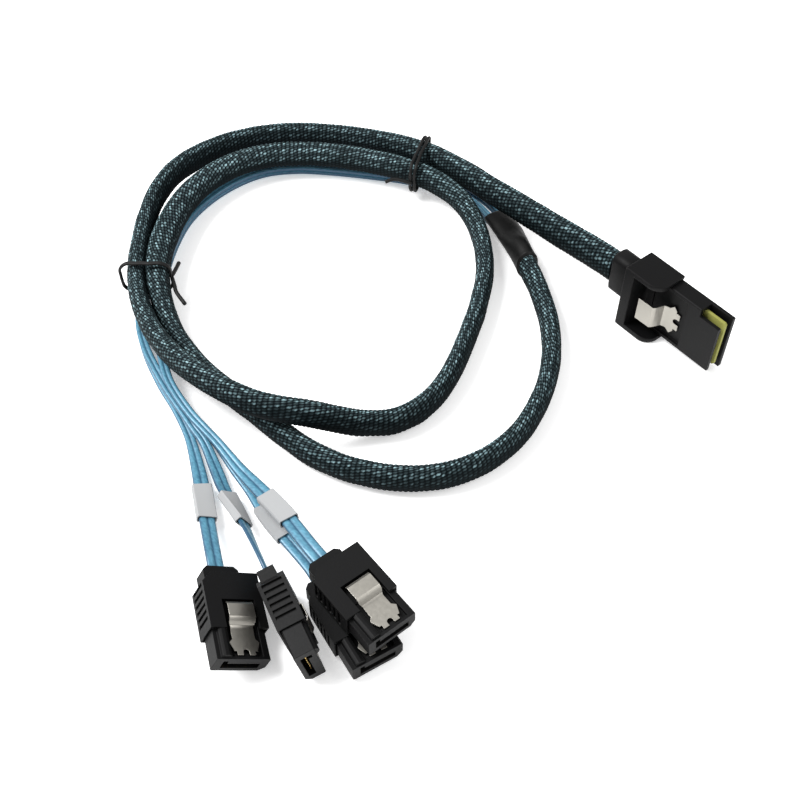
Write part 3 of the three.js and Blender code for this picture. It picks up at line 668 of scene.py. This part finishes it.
def carve(piece, place, prisms, operation="DIFFERENCE"):
    tool = bpy.data.objects.new("tool", prismMesh("tool", place, prisms))
    bpy.context.collection.objects.link(tool)
    cut = piece.modifiers.new("cut", "BOOLEAN")
    cut.operation = operation
    cut.object = tool
    cut.solver = "EXACT"
    bpy.context.view_layer.objects.active = piece
    bpy.ops.object.modifier_apply(modifier="cut")
    bpy.data.objects.remove(tool)


def soften(piece, edge):
    for polygon in piece.data.polygons:
        polygon.use_smooth = True
    bevel = piece.modifiers.new("edges", "BEVEL")
    bevel.width = edge * mm
    bevel.segments = weld["segments"]
    bevel.limit_method = "ANGLE"
    bevel.angle_limit = math.radians(weld["sharp"])
    piece.modifiers.new("shading", "WEIGHTED_NORMAL").keep_sharp = True


def softCopy(node, slotName, body, edge):
    bm = bmesh.new()
    bm.from_mesh(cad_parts[node].data)
    bmesh.ops.remove_doubles(bm, verts=bm.verts, dist=weld["distance"] * mm)
    bmesh.ops.dissolve_limit(bm, angle_limit=math.radians(weld["flat"]), verts=bm.verts, edges=bm.edges)
    mesh = bpy.data.meshes.new(node)
    bm.to_mesh(mesh)
    bm.free()
    piece = addObject(f"{node}Finished", mesh, slotName, body)
    if node in openings:
        carve(piece, *openings[node])
    soften(piece, edge)
    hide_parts(node)
    return piece


def bootPiece(number, plug):
    half, back, cut = boot["half"], boot["back"], boot["chamfer"]
    outline = [
        (-half, boot["front"]), (half, boot["front"]), (half, back), (cut - half, back), (-half, back - cut),
    ]
    name = f"sata_{number}_boot"
    mesh = prismMesh(name, plug, [(outline, boot["low"], boot["high"])])
    piece = addObject(f"{name}Finished", mesh, "boot_black")
    x0, x1, neckBack = boot["neck"]
    corner = boot["neckCorner"]
    neck = [
        (x0, back - boot["neckRoot"]), (x1, back - boot["neckRoot"]), (x1, neckBack - corner),
        (x1 - corner, neckBack), (x0 + corner, neckBack), (x0, neckBack - corner),
    ]
    carve(piece, plug, [(neck, *boot["neckHeight"])], "UNION")
    cutFront = boot["front"] - cutReach["front"]
    x0, x1, end = boot["socket"]
    cuts = [(rectangle(x0, x1, cutFront, end), *boot["socketHeight"])]
    grooveLow, grooveHigh = boot["low"] + boot["margin"], boot["high"] - boot["margin"]
    for k in range(boot["grooves"]):
        y = boot["firstGroove"] + k * boot["pitch"]
        for side in (-1, 1):
            xs = sorted((side * (half - boot["grooveDepth"]), side * (half + cutReach["side"])))
            cuts.append((rectangle(*xs, y, y + boot["grooveWidth"]), grooveLow, grooveHigh))
    carve(piece, plug, cuts)
    x0, x1, end = boot["pocket"]
    pocket = rectangle(x0, x1, cutFront, end)
    carve(piece, plug, [(pocket, boot["pocketFloor"], boot["high"] + cutReach["above"])])
    soften(piece, boot["bevel"])
    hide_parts(name)
    return piece


def neckPiece():
    middleX, middleZ = wideNeck["middle"]
    length, front, back = wideNeck["length"], wideNeck["frontRounding"], wideNeck["backRounding"]
    rings = []
    for y, shrinkBy in ((0, front), (front, 0), (length - back, 0), (length, back)):
        halfX, halfZ = wideNeck["width"] / 2 - shrinkBy, wideNeck["height"] / 2 - shrinkBy
        corner = wideNeck["corner"] - shrinkBy
        ring = []
        for quarter, (sx, sz) in enumerate(((1, 1), (-1, 1), (-1, -1), (1, -1))):
            for step in range(wideNeck["cornerSteps"] + 1):
                angle = math.pi / 2 * (quarter + step / wideNeck["cornerSteps"])
                x = sx * (halfX - corner) + corner * math.cos(angle)
                z = sz * (halfZ - corner) + corner * math.sin(angle)
                ring.append(plugSpot(widePlug, (middleX + x, wideNeck["front"] + y, middleZ + z)))
        rings.append(ring)
    piece = loft("mini_sas_neckFinished", rings, "boot_black")
    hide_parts("mini_sas_neck")
    return piece


# Each copied node's material, body and edge rounding
rigid = {
    "mini_sas_nose": ("plug_black", "cable", 0.15),
    "mini_sas_housing": ("plug_black", "cable", 0.3),
    "mini_sas_paddle_card": ("card", "cable", 0.05),
    "mini_sas_latch": ("latch_metal", "wide_latch", 0.06),
}
for number in range(1, 5):
    rigid[f"sata_{number}_nose"] = ("plug_black", "cable", 0.12)
    rigid[f"sata_{number}_contacts"] = ("contact_gold", "cable", 0.03)
    rigid[f"sata_{number}_latch"] = ("latch_metal", f"latch_{number}", 0.06)
pieces = {node: softCopy(node, *settings) for node, settings in rigid.items()}
pieces["mini_sas_neck"] = neckPiece()
for number, plug in enumerate(plugs, 1):
    pieces[f"sata_{number}_boot"] = bootPiece(number, plug)
print("plugs")

print("done")
